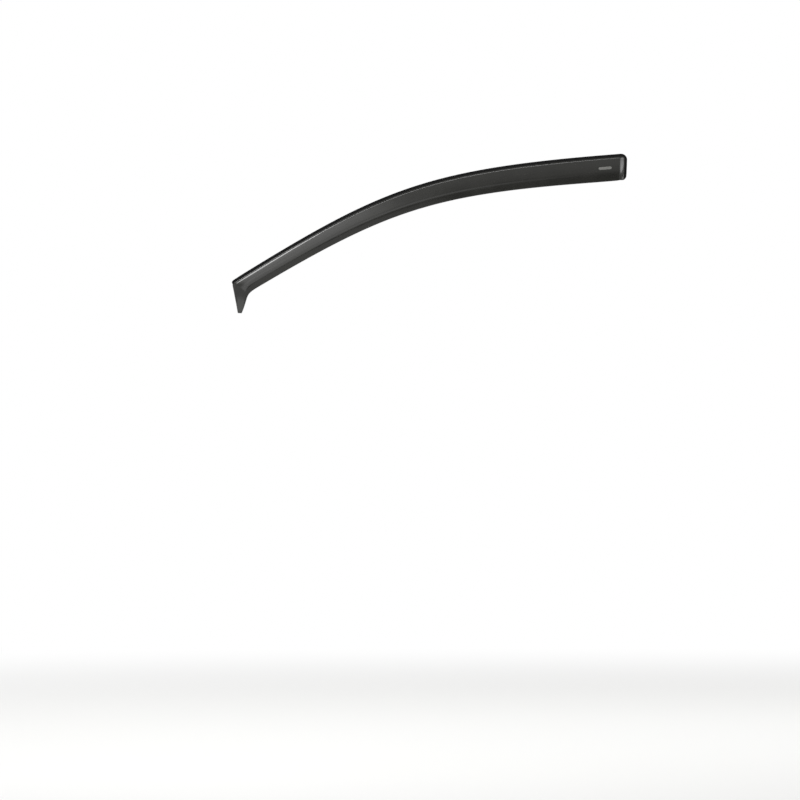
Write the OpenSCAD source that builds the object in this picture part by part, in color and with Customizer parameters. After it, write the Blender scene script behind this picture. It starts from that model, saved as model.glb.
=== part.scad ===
// Window rain deflector, the left one of a pair: one moulded strip of smoked acrylic. A flat
// flange slips up into a channel over the window, the shoulder stands the face off the
// window, and a lip turns back below it. The rear end is closed, the front runs out in a tail.
// X runs to the rear, -Y outboard, Z up, as it hangs in use.

/* [Top edge] */
// Length along X from the rear end to the front corner
band_length = 838; // [760:2:900]
// Drop from the rear corner to the front corner
band_drop = 275; // [250:1:300]
// Slope of the top edge at the rear end, in degrees
rear_slope = 4.4; // [3:0.2:7]
// Slope of the top edge at the front corner, in degrees
front_slope = 32; // [29:0.5:36]
// Reach of the handle that bends the rear half of the top edge
rear_reach = 428; // [390:2:460]
// Reach of the handle that bends the front half of the top edge
front_reach = 380; // [340:2:410]

/* [Widths, seen from the side] */
// Width from the shoulder to the crease at the rear end
face_rear_w = 36; // [30:0.5:42]
// Width from the shoulder to the crease near the front
face_front_w = 19.5; // [16:0.5:26]
// Width of the lip below the crease at the rear end
lip_rear_w = 17.5; // [14:0.5:22]
// Width of the lip halfway along
lip_middle_w = 14; // [11:0.5:19]
// Width of the lip near the front
lip_front_w = 13.5; // [10:0.5:18]

/* [Front tail] */
// Length of top edge over which the lower edge bends down into the tail
bend_length = 40; // [30:1:55]
// Length of the front edge from the front corner down to the tip
tail_length = 63; // [50:1:75]
// Lean of the front edge off the vertical, in degrees
tail_lean = 12; // [6:1:18]
// Reach of the rounding of the front corner
front_corner = 5; // [3:0.5:9]
// Width of the blunt tip
tip_w = 5; // [4:0.5:8]

/* [Section] */
// Thickness of the wall
wall = 2.5; // [2:0.1:3]
// Width of the flange along the top edge
flange_w = 8; // [6:0.5:11]
// Width of the foot along the front edge
foot_w = 2.5; // [2:0.25:4]
// Height of the shoulder over the flange
shoulder_h = 5; // [3.5:0.25:6.5]
// Run of the shoulder from the flange to the face
shoulder_run = 4.2; // [3.8:0.1:5.4]
// Height of the crease over the flange at the rear
crease_rear_h = 13; // [9:0.5:17]
// Height of the crease over the flange near the front
crease_front_h = 9.5; // [7:0.5:12]
// How far the lip turns back from the crease towards the window
lip_return = 5; // [2:0.5:7]
// Swell of the face over a straight line
face_swell = 0.8; // [0:0.1:1.5]

/* [Rear end] */
// Length of the return that closes the rear end
end_return = 7.6; // [6.5:0.2:12]
// Lean of the rear end off the vertical, the bottom forwards, in degrees
end_lean = 3; // [0:0.5:6]
// Width of the flange down the rear end
end_flange_w = 6; // [5:0.5:9]
// Radius of the flange round the rear top corner
rear_corner_r = 14; // [12:0.5:20]
// Rise of the rounded lower corner at the rear end
lower_corner = 12; // [6:0.5:14]

/* [Window curve] */
// Lean of the flange at the rear top corner, off the vertical, in degrees
glass_lean = 24; // [16:1:30]
// Radius of the curve that the flange follows up the window
glass_r = 1500; // [1100:50:2500]

/* [Hidden] */

// Place of the mount on the flange, from the rear end
mount_at = 45;
// How far above the root line the shoulder starts, and the bends at its root and top
shoulder_in = 1;
root_bend = 0.6;
shoulder_bend = 1.6;
// Bends along the crease, and at the root and top of the rear return
crease_bend = 4.5;
end_root_bend = 0.8;
end_bend = 2.8;
// Length over which the lean of the rear end fades out along the top edge
lean_fade = 150;
// Reaches of the handles that bend the lower edge into the tail
bend_reach = 30;
tip_reach = 40;
// Width of the last row along the rim
rim_row = 0.9;
// How far the rim is rounded out, as a share of the wall
rim_round = 0.28;

// A ramp that leaves zero at x = 0, blended over k to each side
function soft(x, k) = x <= -k ? 0 : x >= k ? x : (x + k) * (x + k) / (4 * k);
function clamp(x) = max(0, min(1, x));
function unit(v) = v / norm(v);
function curve(a, b, c, d, t) =
    a * pow(1 - t, 3) + b * 3 * t * pow(1 - t, 2) + c * 3 * t * t * (1 - t) + d * pow(t, 3);
function curve_way(a, b, c, d, t) =
    unit((b - a) * pow(1 - t, 2) + (c - b) * 2 * t * (1 - t) + (d - c) * t * t);

// Top edge, seen from the side as [X, Z], from the rear end to the front corner
rear_way = [-cos(rear_slope), -sin(rear_slope)];
front_way = [-cos(front_slope), -sin(front_slope)];
front_pt = [-band_length, -band_drop];
handle_a = rear_way * rear_reach;
handle_b = front_pt - front_way * front_reach;
function top(t) = t < 0 ? rear_way * 3 * rear_reach * t
                        : curve([0, 0], handle_a, handle_b, front_pt, t);
function top_way(t) = curve_way([0, 0], handle_a, handle_b, front_pt, max(0, t));
function end_turn(t) = let (q = clamp(3 * rear_reach * t / lean_fade))
    (rear_slope + end_lean) * (1 - q) * (1 - q) * (1 + 2 * q);
function down(t) = let (d = top_way(t), a = end_turn(t))
    [-d[1] * cos(a) + d[0] * sin(a), d[0] * cos(a) + d[1] * sin(a)];

// Widths of face and lip at the place t of the top edge
function face_w(t) = face_rear_w + (face_front_w - face_rear_w) * pow(clamp(t), 1.35);
function lip_w(t) = let (s = clamp(t))
    lip_rear_w * (1 - s) * (1 - 2 * s) + lip_middle_w * 4 * s * (1 - s)
    + lip_front_w * s * (2 * s - 1);

// Front edge: where the lower edge starts to bend down, and the tail
bend_t = 1 - bend_length / (3 * front_reach);
tail_way = [sin(tail_lean), -cos(tail_lean)];
tip_pt = front_pt + tail_way * tail_length;
low_pt = top(bend_t) + down(bend_t) * (face_w(bend_t) + lip_w(bend_t));
low_tip = tip_pt + [tip_w, 0];
function upper(v) = let (q = v / 0.42 - 1, r = (v - 0.42) / 0.58, c = front_corner,
        s = q < 0 ? -bend_length * pow(-q, 1.6) : tail_length * pow(r, 1.6))
    s < -c ? top(1 + s / (3 * front_reach))
    : s > c ? front_pt + tail_way * s
    : let (q = (s + c) / (2 * c), a = top(1 - c / (3 * front_reach)), b = front_pt + tail_way * c)
        a * (1 - q) * (1 - q) + front_pt * 2 * q * (1 - q) + b * q * q;
tip_way = unit([1, 2.4]);
function lower(v) = curve(low_pt, low_pt + top_way(bend_t) * bend_reach,
                          low_tip + tip_way * tip_reach, low_tip, v);

// The place t runs 0..1 down the band to where the bend starts, 1..2 through the tail, and
// is below 0 on the rear flange
function place_t(t) = t * bend_t;
function root(t) = t <= 1 ? top(place_t(t)) : upper(t - 1);
function across(t) = t <= 1 ? down(place_t(t)) : unit(lower(t - 1) - upper(t - 1));
function from_end(t) = place_t(t) * 3 * rear_reach;
function end_share(t) = clamp((lower_corner * 1.5 - from_end(t))
                              / (lower_corner * 1.5 + end_flange_w));
function full_w(t) = t > 1 ? norm(lower(t - 1) - upper(t - 1))
    : face_w(place_t(t)) + lip_w(place_t(t))
      - lower_corner * (1 - sqrt(1 - pow(end_share(t), 2)));
function crease_w(t) = t <= 1 ? face_w(place_t(t))
    : full_w(t) * (face_w(bend_t) / (face_w(bend_t) + lip_w(bend_t)) * (2 - t) + 0.62 * (t - 1)
                   + 3.2 * pow((t - 1) * (2 - t), 2));
function rim_w(t) = let (q = clamp((t - 1.27) / 0.2))
    flange_w + (foot_w - flange_w) * q * q * (3 - 2 * q);

// Height of the outer skin over the flange, at the width w
function height_share(t) = pow(1 - pow(max(0, t - 1.15) / 0.85, 2), 2);
function crease_h(t) = (crease_rear_h + (crease_front_h - crease_rear_h) * clamp(t))
                       * height_share(t);
function rise(t, w) = let (
        z = min(1, crease_w(t) / face_front_w), s = height_share(t),
        run = shoulder_run * z, c = crease_w(t), l = max(1, full_w(t) - c),
        b = w + shoulder_in * z, m = max(1, c + shoulder_in * z - run),
        steep = shoulder_h * s / run, face = (crease_h(t) - shoulder_h * s) / m,
        q = clamp((b - run) / m))
    steep * soft(b, root_bend * z) + (face - steep) * soft(b - run, shoulder_bend * z)
    - (face + lip_return * s / l) * soft(w - c, crease_bend * z)
    + face_swell * s * 16 * pow(q * (1 - q), 2);
function end_rise(t) = let (a = from_end(t))
    t > 0.5 ? 1 : (soft(a, end_root_bend) - soft(a - end_return, end_bend)) / end_return;

// Rounds the rear top corner: a is the way from the rear end, w the width
function rounded(a, w) = let (
        b = rear_corner_r, x = 1 - (a + end_flange_w) / b, y = 1 - (w + flange_w) / b)
    x <= 0 || y <= 0 ? [a, w]
    : let (m = max(x, y), p = x * sqrt(1 - y * y / (2 * m)), q = y * sqrt(1 - x * x / (2 * m)))
        [(1 - p) * b - end_flange_w, (1 - q) * b - flange_w];

// The window's curve bends about an axis along X
function lean_sin(z) = sin(glass_lean) + z / glass_r;
function outboard(z) = let (s = lean_sin(z)) [0, -sqrt(1 - s * s), s];
function on_glass(p) = let (s = lean_sin(p[1]))
    [p[0], -glass_r * (sqrt(1 - s * s) - cos(glass_lean)), p[1]];

// A point of the outer skin, and the way the skin faces there
function skin(t, w) = let (
        r = t < 0.5 ? rounded(from_end(t), w) : [from_end(t), w],
        u = t < 0.5 ? r[0] / (3 * rear_reach * bend_t) : t,
        p = root(u) + across(u) * r[1])
    on_glass(p) + outboard(p[1]) * (wall + end_rise(t) * rise(t, w));
function facing(t, w) = let (e = 0.00005, f = 0.02)
    unit(cross(skin(t + e, w) - skin(t - e, w), skin(t, w + f) - skin(t, w - f)));

// Stations along the strip and rows across it
end_mm = concat([-end_flange_w, -end_flange_w * 0.85, -end_flange_w * 0.5],
                [-end_root_bend, 0, end_root_bend, 3 * end_root_bend],
                [for (a = [-end_bend, -1.2, 0, 1.2, end_bend, 6]) end_return + a]);
band_count = 44;
tail_count = 22;
end_t = end_mm[len(end_mm) - 1] / (3 * rear_reach * bend_t);
places = concat([for (a = end_mm) a / (3 * rear_reach * bend_t)],
                [for (i = [1:band_count]) end_t + (1 - end_t) * i / band_count],
                [for (i = [1:tail_count]) 1 + 0.995 * i / tail_count]);
function rows(t) = let (z = min(1, crease_w(t) / face_front_w), c = crease_w(t), f = full_w(t),
        a = -(shoulder_in + root_bend) * z, r = rim_w(t), e = min(rim_row * z, (r + a) * 0.3) - r,
        b = (shoulder_run - shoulder_in) * z, k = shoulder_bend * z, g = b + k,
        o = (root_bend - shoulder_in) * z,
        h = c - crease_bend * z, l = min(c + crease_bend * z, f - 2 * rim_row * z), v = f - rim_row * z)
    concat([-r, e, e * 0.64 + a * 0.36, e * 0.3 + a * 0.7],
           [a, -shoulder_in * z, o, (b - k + o) / 2],
           [b - k, b - k / 2, b, b + k / 2, g],
           [g + (h - g) * 0.25, g + (h - g) * 0.5, g + (h - g) * 0.75, h, (h + c) / 2, c],
           [(c + l) / 2, l, (l + v) / 2, v, f]);

module window_deflector() {
    n = len(places);
    m = len(rows(0));
    mount = skin(mount_at / (3 * rear_reach * bend_t), -flange_w * 0.55);
    outer = [for (t = places, w = rows(t)) skin(t, w) - mount];
    inner = [for (t = places, w = rows(t)) skin(t, w) - mount - facing(t, w) * wall];
    // The rim runs once round the strip and is rounded between the two skins
    ring = concat([for (i = [0:n - 1]) [i, 0]], [for (j = [1:m - 1]) [n - 1, j]],
                  [for (i = [n - 2:-1:0]) [i, m - 1]], [for (j = [m - 2:-1:1]) [0, j]]);
    k = len(ring);
    rim = [for (r = ring) let (
            i = r[0], j = r[1], a = outer[i * m + j],
            b = outer[max(0, min(n - 1, i + (i == 0 ? 1 : i == n - 1 ? -1 : 0))) * m + j],
            c = outer[i * m + (j == 0 ? 1 : j == m - 1 ? m - 2 : j)],
            d = (i == 0 || i == n - 1 ? unit(a - b) : [0, 0, 0])
                + (j == 0 || j == m - 1 ? unit(a - c) : [0, 0, 0]))
        (a + inner[i * m + j]) / 2 + unit(d) * wall * rim_round];
    faces = concat(
        [for (i = [0:n - 2], j = [0:m - 2], s = [0, 1]) let (a = i * m + j)
            s == 0 ? [a, a + 1, a + m] : [a + 1, a + m + 1, a + m]],
        [for (i = [0:n - 2], j = [0:m - 2], s = [0, 1]) let (a = n * m + i * m + j)
            s == 0 ? [a, a + m, a + 1] : [a + 1, a + m, a + m + 1]],
        [for (i = [0:k - 1], s = [0:3]) let (
                p = ring[i][0] * m + ring[i][1], q = ring[(i + 1) % k][0] * m + ring[(i + 1) % k][1],
                e = 2 * n * m + i, f = 2 * n * m + (i + 1) % k)
            s == 0 ? [p, q, e] : s == 1 ? [q, f, e] : s == 2 ? [e, f, n * m + p]
            : [f, n * m + q, n * m + p]]);
    color([0.12, 0.12, 0.13])
        polyhedron(points = concat(outer, inner, rim), faces = faces);
}

window_deflector();
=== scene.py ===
"""Window rain deflector: a moulded strip of smoked acrylic that hangs over a side window."""

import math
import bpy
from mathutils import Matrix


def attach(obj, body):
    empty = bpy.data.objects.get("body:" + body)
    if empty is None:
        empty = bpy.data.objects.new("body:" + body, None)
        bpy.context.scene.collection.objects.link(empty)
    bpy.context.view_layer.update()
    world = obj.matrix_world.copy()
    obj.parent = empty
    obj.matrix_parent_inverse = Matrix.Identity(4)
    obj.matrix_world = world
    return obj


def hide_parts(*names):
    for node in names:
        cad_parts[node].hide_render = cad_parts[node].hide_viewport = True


bl_info = {
    "name": "Window Rain Deflector",
    "version": (1, 0, 0),
    "blender": (4, 5, 0),
    "location": "View3D > Sidebar > Deflector",
    "description": "Finishes the moulded smoked acrylic strip and sets up a plain studio",
    "category": "Object",
}

import bpy
from bpy.props import FloatProperty, FloatVectorProperty, IntProperty, PointerProperty
from mathutils import Matrix, Vector, kdtree

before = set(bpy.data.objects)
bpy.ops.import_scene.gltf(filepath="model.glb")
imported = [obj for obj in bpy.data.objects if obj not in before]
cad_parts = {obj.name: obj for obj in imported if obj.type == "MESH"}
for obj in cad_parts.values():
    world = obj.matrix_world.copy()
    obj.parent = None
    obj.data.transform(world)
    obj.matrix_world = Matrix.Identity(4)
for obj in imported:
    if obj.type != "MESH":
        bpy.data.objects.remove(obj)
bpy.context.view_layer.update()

STRIP_NODE = "window_deflector"
STRIP_MAP = "Strip"

# Top edge of the face seen from the side, as X and Z: rear end, two handles, front corner
TOP_EDGE = ((0.0436, -0.0019), (-0.3832, -0.0347), (-0.4722, -0.0755), (-0.7944, -0.2769))
TOP_EDGE_POINTS = 400
# From the top edge to the middle of the band, and how far to the rear that middle line goes
BAND_MIDDLE = (0.0, 0.0, -0.018)
BAND_END = 0.025

# The flange lies on a window curved as a cylinder along X. The origin is on the flange's outer
# face, so the axis is a radius and a wall away from it, square to the window's lean there
WALL = 0.0025
CURVE_RADIUS = 1.5
CURVE_LEAN = math.radians(24.0387)
CURVE_AXIS = Vector((0.0, math.cos(CURVE_LEAN), -math.sin(CURVE_LEAN))) * (CURVE_RADIUS + WALL)

# How exact the heights of the flange's skins over the window curve are
FLAT = 0.000002
# How far a face turns sideways, away from the band, where it belongs to the flange's rim
RIM_TURN = 0.25
# The flange ends at the front corner, at this height
FLANGE_END = -0.2772

# How close corners of the solid are merged, and how bent and how skewed two triangles that are
# joined into one face may be
CORNER_MERGE = 0.000005
PAIR_BEND = math.radians(60)
PAIR_SKEW = math.radians(100)

ACRYLIC_IOR = 1.49

# Hairlines: waves in a metre along and across the strip
HAIRLINE_WAVES = (9.0, 620.0, 1.0)
# A cloudy place of the skin is the smoke's colour times this gain, plus this lift
CLOUDY_GAIN = 1.35
CLOUDY_LIFT = 0.001
DUST_COLOUR = (0.26, 0.25, 0.23, 1.0)
# What a film and hairlines add to the skin's roughness, and how rough the print is
FILM_DULLS = 0.07
HAIRLINES_DULL = 0.10
PRINT_ROUGHNESS = 0.45

# The mark: its length and height, the width of its soft edge, and the greatest Y of the skin's
# normal under it, which keeps it off the inside
MARK_LENGTH = 0.028
MARK_HEIGHT = 0.0058
MARK_EDGE = 0.0002
MARK_FACING = -0.3

# The matt flange: its darkest and palest tone, and how little it shines
# The dark tones and the weak shine are painted shade, standing in for the shade of the window
# channel
FLANGE_SHADE_TONES = ((0.0042, 0.0042, 0.0042, 1.0), (0.0078, 0.0078, 0.0075, 1.0))
FLANGE_SHADE_SPECULAR = 0.08

# How bright the studio looks at each height in degrees: on the camera's side, behind the
# deflector, and past its rear end
DOME = {
    "Behind the camera": ((0, 1.0), (4.2, 1.0), (7, 0.12), (14, 0.27), (26, 0.23), (42, 0.45),
                          (54, 0.58), (90, 0.76)),
    "Backdrop": ((0, 1.0), (12, 1.0), (35, 0.85), (90, 0.76)),
    "Rear side": ((0, 1.0), (4.2, 1.0), (6, 0.12), (9, 0.12), (12, 0.9), (90, 0.76)),
}
# Where one part of the dome runs into the next, by the direction looked in: its Y from the
# camera's side to the backdrop, its X to the backdrop on both sides, and its X to the rear side
DOME_BACK_RUN = (-0.45, 0.1)
DOME_SIDES_RUN = (0.18, 0.6)
DOME_REAR_RUN = (0.4, 0.75)

# Name, place, what it faces, its upward direction, width and height, how bright it looks, and
# where it starts to fade towards its edges, as a share of its half width
SOFTBOXES = (
    ("Key softbox", (-1.42, -1.30, 2.21), (-0.60, -0.08, -0.20), (-0.385, 0.783, 0.489),
     (1.43, 2.84), 1.75, 0.45),
    ("Low key softbox", (-0.95, -1.95, 0.54), (-0.75, -0.08, -0.25), (0.336, 0.336, 0.882),
     (1.81, 2.28), 1.70, 0.45),
    ("Front top softbox", (-1.87, 0.36, 2.19), (-0.72, -0.08, -0.20), (0.0, 1.0, 0.0),
     (0.64, 3.18), 9.8, 0.45),
    ("Top softbox", (-0.98, 1.64, 2.48), (-0.35, -0.04, -0.03), (0.0, 1.0, 0.0),
     (3.04, 0.62), 4.4, 0.45),
    ("Side softbox", (1.66, 0.46, 1.27), (0.04, 0.0, 0.0), (0.0, 0.0, 1.0),
     (1.70, 2.20), 2.2, 0.85),
)

FLOOR_SIZE = 80.0
FLOOR_ROUGHNESS = 0.85
CAMERA_REACH = 100.0

# Spacing of the nodes in the node editor
NODE_COLUMN = 220
NODE_ROW = 260


class StripSettings(bpy.types.PropertyGroup):
    """Sizes and colours of the moulded strip"""

    smoke: FloatVectorProperty(
        name="Smoke", description="Colour of the smoked acrylic", subtype="COLOR", size=3,
        min=0.0, max=1.0, default=(0.0087, 0.0087, 0.0068))
    gloss_roughness: FloatProperty(
        name="Roughness", description="Roughness of the polished skin", subtype="FACTOR",
        min=0.02, max=0.6, default=0.17)
    rounds: IntProperty(
        name="Rounds", description="Subdivision levels that smooth the moulded skin",
        min=0, max=3, default=2)
    mark_colour: FloatVectorProperty(
        name="Mark colour", description="Colour of the plain printed mark", subtype="COLOR",
        size=3, min=0.0, max=1.0, default=(0.135, 0.135, 0.125))
    mark_place: FloatVectorProperty(
        name="Mark", description="Centre of the plain printed mark", subtype="TRANSLATION",
        unit="LENGTH", size=3, default=(0.0017, 0.0, -0.0256))
    mark_turn: FloatProperty(
        name="Mark turn", description="Turn of the mark, to follow the top edge",
        subtype="ANGLE", default=math.radians(-5.0))
    mark_length: FloatProperty(
        name="Mark length", description="Length of the plain printed mark", unit="LENGTH",
        min=0.005, max=0.08, default=MARK_LENGTH)
    mark_height: FloatProperty(
        name="Mark height", description="Height of the plain printed mark", unit="LENGTH",
        min=0.001, max=0.02, default=MARK_HEIGHT)


class StageSettings(bpy.types.PropertyGroup):
    """Sizes and colours of the floor and the camera's view"""

    floor_drop: FloatProperty(
        name="Floor", description="Height of the ground under the deflector's origin",
        unit="LENGTH", default=-1.25)
    floor_colour: FloatVectorProperty(
        name="Floor colour", description="Colour of the floor by the deflector",
        subtype="COLOR", size=3, min=0.0, max=1.0, default=(0.74, 0.74, 0.73))
    floor_near: FloatProperty(
        name="Floor fade", description="Where the floor starts to run out into white",
        unit="LENGTH", min=0.0, default=1.0)
    floor_far: FloatProperty(
        name="Floor white", description="Where the floor has run out into white",
        unit="LENGTH", min=0.0, default=4.5)
    aim: FloatVectorProperty(
        name="Aim", description="Point at the middle of the picture", subtype="TRANSLATION",
        unit="LENGTH", size=3, default=(-0.4385, 0.0, -0.5231))
    distance: FloatProperty(
        name="Distance", description="Way from the camera to the strip", unit="LENGTH",
        min=1.0, default=12.0)
    width: FloatProperty(
        name="Width", description="Width of the picture at the strip", unit="LENGTH",
        min=0.2, default=1.72)


def select_only(obj):
    """Leaves obj alone selected and active."""
    bpy.ops.object.select_all(action="DESELECT")
    obj.select_set(True)
    bpy.context.view_layer.objects.active = obj


def add_node(tree, kind, **values):
    """Adds a shader node and sets its properties; a name that starts with in_ is a socket's."""
    node = tree.nodes.new(kind)
    for name, value in values.items():
        if name.startswith("in_"):
            node.inputs[name[3:].replace("_", " ")].default_value = value
        else:
            setattr(node, name, value)
    return node


def feed(tree, socket, value):
    """Feeds a socket from another socket, or sets it to a plain value."""
    if isinstance(value, bpy.types.NodeSocket):
        tree.links.new(value, socket)
    else:
        socket.default_value = value


def math_node(tree, operation, *values):
    """Adds a Math node over sockets or plain numbers and gives its result."""
    node = add_node(tree, "ShaderNodeMath", operation=operation)
    for socket, value in zip(node.inputs, values):
        feed(tree, socket, value)
    return node.outputs["Value"]


def mix_node(tree, data_type, factor, first, second):
    """Adds a Mix node between two sockets or plain values and gives its result."""
    node = add_node(tree, "ShaderNodeMix", data_type=data_type)
    for name, value in (("Factor", factor), ("A", first), ("B", second)):
        feed(tree, node.inputs[name], value)
    return node.outputs["Result"]


def range_node(tree, value, start, end, low=0.0, high=1.0, interpolation="LINEAR"):
    """Adds a Map Range node: goes from low to high while value goes from start to end."""
    node = add_node(tree, "ShaderNodeMapRange", interpolation_type=interpolation)
    for name, given in (("Value", value), ("From Min", start), ("From Max", end),
                        ("To Min", low), ("To Max", high)):
        feed(tree, node.inputs[name], given)
    return node.outputs["Result"]


def noise_node(tree, place, **values):
    """Adds a Noise texture over a place and gives its value."""
    node = add_node(tree, "ShaderNodeTexNoise", **values)
    tree.links.new(place, node.inputs["Vector"])
    return node.outputs["Fac"]


def bump_node(tree, height, strength, distance, normal=None):
    """Adds a Bump over a height, on top of another normal if there is one."""
    node = add_node(tree, "ShaderNodeBump", in_Strength=strength, in_Distance=distance)
    tree.links.new(height, node.inputs["Height"])
    if normal:
        tree.links.new(normal, node.inputs["Normal"])
    return node.outputs["Normal"]


def lay_out(tree):
    """Spreads a tree's nodes in columns, with its output on the right."""
    column = {node.name: 0 for node in tree.nodes}
    for _ in tree.nodes:
        for link in tree.links:
            source, goal = link.from_node.name, link.to_node.name
            column[source] = max(column[source], column[goal] + 1)
    rows = dict.fromkeys(column.values(), 0)
    for node in tree.nodes:
        place = column[node.name]
        node.location = (-NODE_COLUMN * place, -NODE_ROW * rows[place])
        rows[place] += 1


def new_group(name, inputs, outputs):
    """Makes a node group with named sockets; inputs maps a name to its kind and default."""
    group = bpy.data.node_groups.new(name, "ShaderNodeTree")
    for key, (kind, default) in inputs.items():
        socket = group.interface.new_socket(name=key, in_out="INPUT", socket_type=kind)
        if default is not None:
            socket.default_value = default
    for key, kind in outputs.items():
        group.interface.new_socket(name=key, in_out="OUTPUT", socket_type=kind)
    return group, add_node(group, "NodeGroupInput"), add_node(group, "NodeGroupOutput")


def hairline_group():
    """Fine polishing lines along the strip, from the along and across coordinates."""
    group, start, end = new_group(
        "Polishing hairlines",
        {"Strip": ("NodeSocketVector", None), "Fineness": ("NodeSocketFloat", 1.0)},
        {"Lines": "NodeSocketFloat"})
    link = group.links.new
    stretch = add_node(group, "ShaderNodeMapping", in_Scale=HAIRLINE_WAVES)
    scale = add_node(group, "ShaderNodeVectorMath", operation="SCALE")
    link(start.outputs["Strip"], stretch.inputs["Vector"])
    link(stretch.outputs["Vector"], scale.inputs["Vector"])
    link(start.outputs["Fineness"], scale.inputs["Scale"])
    noise = noise_node(group, scale.outputs["Vector"], in_Scale=1.0, in_Detail=3.0,
                       in_Roughness=0.65)
    link(range_node(group, noise, start=0.60, end=0.78), end.inputs["Lines"])
    lay_out(group)
    return group


def dust_group():
    """Specks of settled dust and a soft uneven film."""
    group, start, end = new_group(
        "Settled dust",
        {"Place": ("NodeSocketVector", None), "Amount": ("NodeSocketFloat", 1.0)},
        {"Specks": "NodeSocketFloat", "Film": "NodeSocketFloat"})
    link = group.links.new
    place = start.outputs["Place"]
    cells = add_node(group, "ShaderNodeTexVoronoi", in_Scale=900.0)
    link(place, cells.inputs["Vector"])
    dots = range_node(group, cells.outputs["Distance"], start=0.10, end=0.04)
    patches = noise_node(group, place, in_Scale=60.0, in_Detail=2.0)
    specks = math_node(group, "MULTIPLY", dots, range_node(group, patches, start=0.48, end=0.66))
    link(math_node(group, "MULTIPLY", specks, start.outputs["Amount"]), end.inputs["Specks"])
    cloud = noise_node(group, place, in_Scale=14.0, in_Detail=4.0, in_Roughness=0.6)
    link(range_node(group, cloud, start=0.35, end=0.75), end.inputs["Film"])
    lay_out(group)
    return group


def mark_group():
    """A plain rounded bar, as a printed mark."""
    group, start, end = new_group(
        "Plain printed mark",
        {"Place": ("NodeSocketVector", None), "Length": ("NodeSocketFloat", MARK_LENGTH),
         "Height": ("NodeSocketFloat", MARK_HEIGHT)},
        {"Print": "NodeSocketFloat"})
    split = add_node(group, "ShaderNodeSeparateXYZ")
    group.links.new(start.outputs["Place"], split.inputs["Vector"])

    half = math_node(group, "MULTIPLY", start.outputs["Length"], 0.5)
    radius = math_node(group, "MULTIPLY", start.outputs["Height"], 0.5)
    straight = math_node(group, "SUBTRACT", half, radius)
    off = math_node(group, "ABSOLUTE", split.outputs["X"])
    past = math_node(group, "MAXIMUM", math_node(group, "SUBTRACT", off, straight), 0.0)
    squares = [math_node(group, "POWER", way, 2.0) for way in (past, split.outputs["Z"])]
    away = math_node(group, "SQRT", math_node(group, "ADD", *squares))
    rim = math_node(group, "ADD", radius, MARK_EDGE)
    group.links.new(range_node(group, away, radius, rim, low=1.0, high=0.0), end.inputs["Print"])
    lay_out(group)
    return group


def new_acrylic(name):
    """Starts a material of bare acrylic and gives it with its shader."""
    mat = bpy.data.materials.new(name)
    mat.use_nodes = True
    skin = mat.node_tree.nodes["Principled BSDF"]
    skin.inputs["IOR"].default_value = ACRYLIC_IOR
    return mat, skin


def smoked_acrylic(strip):
    """Dark polished acrylic with faint waviness, hairlines, dust and the printed mark."""
    mat, skin = new_acrylic("Smoked acrylic")
    tree = mat.node_tree
    link = tree.links.new
    place = add_node(tree, "ShaderNodeTexCoord")
    along = add_node(tree, "ShaderNodeUVMap", uv_map=STRIP_MAP)
    lines = add_node(tree, "ShaderNodeGroup", node_tree=hairline_group())
    dust = add_node(tree, "ShaderNodeGroup", node_tree=dust_group())
    link(along.outputs["UV"], lines.inputs["Strip"])
    link(place.outputs["Object"], dust.inputs["Place"])

    # The plain mark sits on the face by the rear end, turned with the top edge
    centre = add_node(tree, "ShaderNodeMapping", vector_type="TEXTURE",
                      in_Location=strip.mark_place, in_Rotation=(0.0, strip.mark_turn, 0.0))
    mark = add_node(tree, "ShaderNodeGroup", node_tree=mark_group(),
                    in_Length=strip.mark_length, in_Height=strip.mark_height)
    link(place.outputs["Object"], centre.inputs["Vector"])
    link(centre.outputs["Vector"], mark.inputs["Place"])
    facing = add_node(tree, "ShaderNodeSeparateXYZ")
    link(place.outputs["Normal"], facing.inputs["Vector"])
    outboard = math_node(tree, "LESS_THAN", facing.outputs["Y"], MARK_FACING)
    printing = math_node(tree, "MULTIPLY", mark.outputs["Print"], outboard)

    # Colour: smoke, a touch lighter where the moulding is cloudy, dust and the print
    smoke = tuple(strip.smoke)
    cloudy = tuple(part * CLOUDY_GAIN + CLOUDY_LIFT for part in smoke)
    skinned = mix_node(tree, "RGBA", dust.outputs["Film"], (*smoke, 1.0), (*cloudy, 1.0))
    dusty = mix_node(tree, "RGBA", dust.outputs["Specks"], skinned, DUST_COLOUR)
    printed = mix_node(tree, "RGBA", printing, dusty, (*strip.mark_colour, 1.0))
    link(printed, skin.inputs["Base Color"])

    # Roughness: polished, duller under the film, in the hairlines and on the print
    gloss = strip.gloss_roughness
    dull = range_node(tree, dust.outputs["Film"], 0.0, 1.0, low=gloss, high=gloss + FILM_DULLS)
    scratched = math_node(tree, "MULTIPLY_ADD", lines.outputs["Lines"], HAIRLINES_DULL, dull)
    rough = mix_node(tree, "FLOAT", printing, scratched, PRINT_ROUGHNESS)
    link(rough, skin.inputs["Roughness"])

    # Surface: slow waves of the moulded sheet, then the fine lines
    wave = noise_node(tree, place.outputs["Object"], in_Scale=28.0, in_Detail=1.5)
    slow = bump_node(tree, wave, strength=0.10, distance=0.0012)
    fine = bump_node(tree, lines.outputs["Lines"], strength=0.12, distance=0.0001, normal=slow)
    link(fine, skin.inputs["Normal"])
    lay_out(tree)
    return mat


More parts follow.
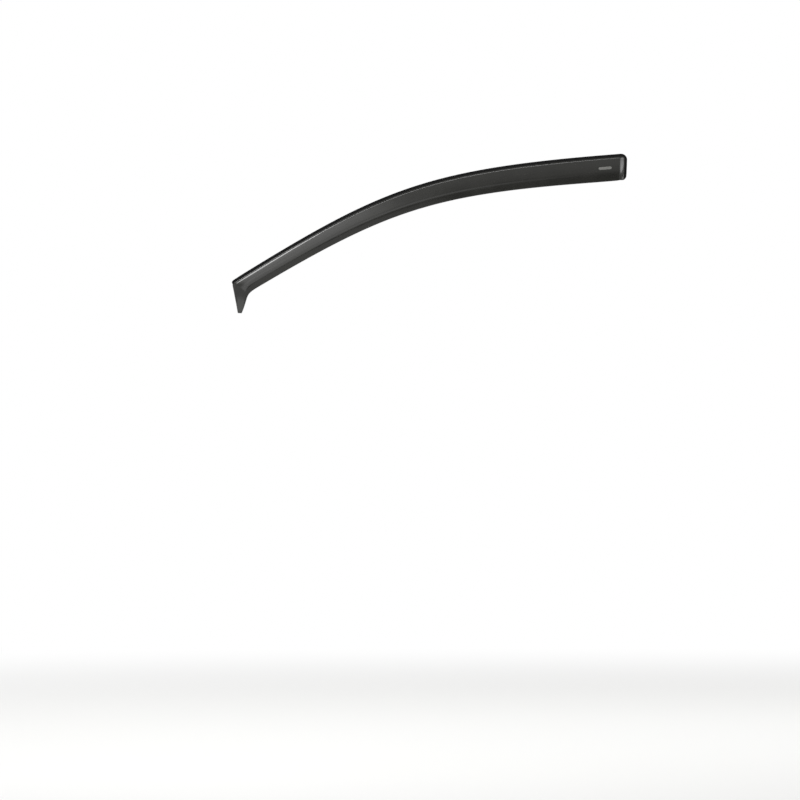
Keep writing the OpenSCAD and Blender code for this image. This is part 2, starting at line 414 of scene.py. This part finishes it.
def matt_flange_painted_shade():
    """The flange that slides into the window channel: left matt and finely grained, and darkened
    with painted shade of the channel.
    """
    mat, skin = new_acrylic("Matt flange with painted shade")
    # Painted shade: the shine is turned right down, so the flange stays dark like the shade in the
    # channel
    skin.inputs["Specular IOR Level"].default_value = FLANGE_SHADE_SPECULAR
    tree = mat.node_tree
    link = tree.links.new
    place = add_node(tree, "ShaderNodeTexCoord")
    cloud = noise_node(tree, place.outputs["Object"], in_Scale=45.0, in_Detail=4.0)
    grain = noise_node(tree, place.outputs["Object"], in_Scale=1800.0, in_Detail=2.0)
    # Painted shade: near-black tones, darker than the smoke, for the shade in the window channel;
    # the cloud varies them at random
    link(mix_node(tree, "RGBA", cloud, *FLANGE_SHADE_TONES), skin.inputs["Base Color"])
    link(range_node(tree, cloud, 0.0, 1.0, low=0.5, high=0.68), skin.inputs["Roughness"])
    link(bump_node(tree, grain, strength=0.25, distance=0.0001), skin.inputs["Normal"])
    lay_out(tree)
    return mat


def from_curve_axis(point):
    """The way from the window curve's axis out to a point, square to the axis."""
    way = point - CURVE_AXIS
    way.x = 0.0
    return way


def is_flange(face, height, core):
    """Whether a face lies in the flange, from its greatest height over the window curve and
    the nearest point of the band's middle line."""
    out = from_curve_axis(face.center).normalized()
    outboard = face.normal.dot(out)
    side = face.normal - out * outboard
    way = face.center - core
    way.y = 0.0
    at_rim = side.dot(way.normalized()) > RIM_TURN
    skin = WALL if outboard > 0.0 or at_rim else 0.0
    return height < skin + FLAT and face.center.z > FLANGE_END


def top_edge():
    """Points along the face's top edge, each with its way from the rear end."""
    ends = [Vector((x, 0.0, z)) for x, z in TOP_EDGE]
    points, way = [], 0.0
    for i in range(TOP_EDGE_POINTS + 1):
        t = i / TOP_EDGE_POINTS
        shares = ((1 - t) ** 3, 3 * t * (1 - t) ** 2, 3 * t * t * (1 - t), t ** 3)
        point = sum((end * share for end, share in zip(ends, shares)), Vector())
        way += (point - points[-1][0]).length if points else 0.0
        points.append((point, way))
    return points


def nearest_finder(points):
    """A search tree over points, which stay flat in Y."""
    tree = kdtree.KDTree(len(points))
    for i, point in enumerate(points):
        tree.insert(point, i)
    tree.balance()
    return tree


def strip_coordinates(mesh):
    """Writes the way along the top edge and the way down from it to the strip's UV map."""
    points = top_edge()
    tree = nearest_finder([point for point, _ in points])
    found = []
    for vertex in mesh.vertices:
        _, i, away = tree.find((vertex.co.x, 0.0, vertex.co.z))
        found.append((points[i][1], away))
    layer = mesh.uv_layers.new(name=STRIP_MAP)
    for loop in mesh.loops:
        layer.data[loop.index].uv = found[loop.vertex_index]


def paint_flange(mesh):
    """Gives the flange's faces the second material, the matt flange darkened with painted shade,
    along the rows of the solid.
    """
    middle = [point + Vector(BAND_MIDDLE) for point, _ in top_edge()]
    tree = nearest_finder([point for point in middle if point.x < BAND_END])
    heights = [from_curve_axis(vertex.co).length - CURVE_RADIUS for vertex in mesh.vertices]
    for face in mesh.polygons:
        core, _, _ = tree.find((face.center.x, 0.0, face.center.z))
        height = max(heights[i] for i in face.vertices)
        face.material_index = int(is_flange(face, height, core))


class DEFLECTOR_OT_strip(bpy.types.Operator):
    """Make the moulded strip from the fixed solid, with rounded skins and its finish"""

    bl_idname = "deflector.strip"
    bl_label = "Moulded strip"
    bl_options = {"REGISTER", "UNDO"}

    def execute(self, context):
        strip = context.scene.deflector_strip
        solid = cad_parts[STRIP_NODE]
        piece = bpy.data.objects.new("moulded_strip", solid.data.copy())
        context.scene.collection.objects.link(piece)
        select_only(piece)
        bpy.ops.object.mode_set(mode="EDIT")
        bpy.ops.mesh.select_all(action="SELECT")
        bpy.ops.mesh.remove_doubles(threshold=CORNER_MERGE)
        bpy.ops.mesh.tris_convert_to_quads(face_threshold=PAIR_BEND, shape_threshold=PAIR_SKEW)
        bpy.ops.mesh.normals_make_consistent(inside=False)
        bpy.ops.object.mode_set(mode="OBJECT")
        piece.data.materials.clear()
        piece.data.materials.append(smoked_acrylic(strip))
        # The second material: the matt flange, darkened with painted shade of the window channel
        piece.data.materials.append(matt_flange_painted_shade())
        paint_flange(piece.data)
        if strip.rounds:
            rounding = piece.modifiers.new("Moulded rounding", "SUBSURF")
            rounding.levels = rounding.render_levels = strip.rounds
            bpy.ops.object.modifier_apply(modifier=rounding.name)
        bpy.ops.object.shade_smooth()
        strip_coordinates(piece.data)
        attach(piece, "root")
        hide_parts(STRIP_NODE)
        return {"FINISHED"}


def seen_rays(tree):
    """A mask of the rays that show a background: camera, glossy and transmission rays."""
    path = add_node(tree, "ShaderNodeLightPath")
    indirect = math_node(tree, "MAXIMUM", path.outputs["Is Glossy Ray"],
                         path.outputs["Is Transmission Ray"])
    return math_node(tree, "MAXIMUM", path.outputs["Is Camera Ray"], indirect)


def floor_paint(stage):
    """Pale matt paint that runs out into plain white away from the deflector."""
    mat = bpy.data.materials.new("Pale floor")
    mat.use_nodes = True
    tree = mat.node_tree
    link = tree.links.new
    paint = tree.nodes["Principled BSDF"]
    paint.inputs["Base Color"].default_value = (*stage.floor_colour, 1.0)
    paint.inputs["Roughness"].default_value = FLOOR_ROUGHNESS
    place = add_node(tree, "ShaderNodeTexCoord")
    away = add_node(tree, "ShaderNodeVectorMath", operation="LENGTH")
    link(place.outputs["Object"], away.inputs["Vector"])
    run = range_node(tree, away.outputs["Value"], stage.floor_near, stage.floor_far,
                     interpolation="SMOOTHSTEP")
    white = add_node(tree, "ShaderNodeEmission", in_Strength=1.0)
    mix = add_node(tree, "ShaderNodeMixShader")
    link(math_node(tree, "MULTIPLY", seen_rays(tree), run), mix.inputs["Fac"])
    link(paint.outputs["BSDF"], mix.inputs[1])
    link(white.outputs["Emission"], mix.inputs[2])
    link(mix.outputs["Shader"], tree.nodes["Material Output"].inputs["Surface"])
    lay_out(tree)
    return mat


def dome_side(tree, height, name):
    """One side of the dome: how bright it is at each height."""
    ramp = add_node(tree, "ShaderNodeValToRGB", label=name)
    stops = ramp.color_ramp.elements
    ramp.color_ramp.interpolation = "EASE"
    for index, (degrees, tone) in enumerate(DOME[name]):
        place = math.sin(math.radians(degrees))
        stop = stops[index] if index < 2 else stops.new(place)
        stop.position = place
        stop.color = (tone, tone, tone, 1.0)
    tree.links.new(height, ramp.inputs["Fac"])
    return ramp.outputs["Color"]


def studio_dome():
    """White backdrop and horizon, softer ceiling, a dim room behind the camera and at the rear."""
    world = bpy.data.worlds.new("Studio dome")
    world.use_nodes = True
    tree = world.node_tree
    way = add_node(tree, "ShaderNodeTexCoord")
    split = add_node(tree, "ShaderNodeSeparateXYZ")
    tree.links.new(way.outputs["Generated"], split.inputs["Vector"])
    x, y, height = split.outputs
    room, backdrop, rear = (dome_side(tree, height, name) for name in DOME)
    back = range_node(tree, y, *DOME_BACK_RUN, interpolation="SMOOTHSTEP")
    beside = range_node(tree, math_node(tree, "ABSOLUTE", x), *DOME_SIDES_RUN,
                        interpolation="SMOOTHSTEP")
    level = mix_node(tree, "RGBA", math_node(tree, "MAXIMUM", back, beside), room, backdrop)
    past_rear = range_node(tree, x, *DOME_REAR_RUN, interpolation="SMOOTHSTEP")
    tree.links.new(mix_node(tree, "RGBA", past_rear, level, rear),
                   tree.nodes["Background"].inputs["Color"])
    lay_out(tree)
    return world


def add_softbox(name, place, aim, up, size, tone, fade):
    """Adds a soft rectangular lamp that faces aim; tone is how bright it looks, and fade is
    where it starts to dim towards its edges."""
    bpy.ops.object.light_add(type="AREA", location=place)
    lamp = bpy.context.object
    lamp.name = name
    away = (Vector(place) - Vector(aim)).normalized()
    across = Vector(up).cross(away).normalized()
    lamp.rotation_euler = Matrix((across, away.cross(across), away)).transposed().to_euler()
    lamp.data.shape = "RECTANGLE"
    lamp.data.size, lamp.data.size_y = size
    lamp.data.energy = tone * math.pi * size[0] * size[1]
    lamp.data.use_nodes = True
    tree = lamp.data.node_tree
    spot = add_node(tree, "ShaderNodeNewGeometry")
    split = add_node(tree, "ShaderNodeSeparateXYZ")
    tree.links.new(spot.outputs["Parametric"], split.inputs["Vector"])
    glow = 1.0
    for axis in "XY":
        from_middle = math_node(tree, "MULTIPLY_ADD", split.outputs[axis], 2.0, -1.0)
        edge = range_node(tree, math_node(tree, "ABSOLUTE", from_middle), start=1.0, end=fade,
                          interpolation="SMOOTHSTEP")
        glow = math_node(tree, "MULTIPLY", edge, glow)
    tree.links.new(glow, tree.nodes["Emission"].inputs["Strength"])
    lay_out(tree)


class DEFLECTOR_OT_stage(bpy.types.Operator):
    """Set up the pale floor, the softboxes, the studio dome and the camera"""

    bl_idname = "deflector.stage"
    bl_label = "Studio"
    bl_options = {"REGISTER", "UNDO"}

    def execute(self, context):
        stage = context.scene.deflector_stage
        bpy.ops.object.select_all(action="DESELECT")
        bpy.ops.mesh.primitive_plane_add(size=FLOOR_SIZE, location=(0.0, 0.0, stage.floor_drop))
        floor = context.object
        floor.name = "studio_floor"
        floor.data.materials.append(floor_paint(stage))

        for softbox in SOFTBOXES:
            add_softbox(*softbox)
        context.scene.world = studio_dome()

        aim = Vector(stage.aim)
        bpy.ops.object.camera_add(location=aim + Vector((0.0, -stage.distance, 0.0)),
                                  rotation=(math.radians(90.0), 0.0, 0.0))
        camera = context.object
        camera.name = "Camera"
        camera.data.lens = camera.data.sensor_width * stage.distance / stage.width
        camera.data.clip_end = CAMERA_REACH
        context.scene.camera = camera
        context.scene.view_settings.view_transform = "Standard"
        return {"FINISHED"}


class DEFLECTOR_PT_panel(bpy.types.Panel):
    """Lists the deflector's operators and sizes"""

    bl_label = "Rain Deflector"
    bl_space_type = "VIEW_3D"
    bl_region_type = "UI"
    bl_category = "Deflector"

    def draw(self, context):
        layout = self.layout
        for operator, settings in ((DEFLECTOR_OT_strip, context.scene.deflector_strip),
                                   (DEFLECTOR_OT_stage, context.scene.deflector_stage)):
            layout.operator(operator.bl_idname)
            for name in settings.__annotations__:
                layout.prop(settings, name)


CLASSES = (StripSettings, StageSettings, DEFLECTOR_OT_strip, DEFLECTOR_OT_stage,
           DEFLECTOR_PT_panel)


def register():
    for cls in CLASSES:
        bpy.utils.register_class(cls)
    bpy.types.Scene.deflector_strip = PointerProperty(type=StripSettings)
    bpy.types.Scene.deflector_stage = PointerProperty(type=StageSettings)


def unregister():
    del bpy.types.Scene.deflector_stage
    del bpy.types.Scene.deflector_strip
    for cls in reversed(CLASSES):
        bpy.utils.unregister_class(cls)


def main():
    register()
    bpy.ops.deflector.strip()
    bpy.ops.deflector.stage()
    bpy.context.view_layer.update()


if __name__ == "__main__":
    main()
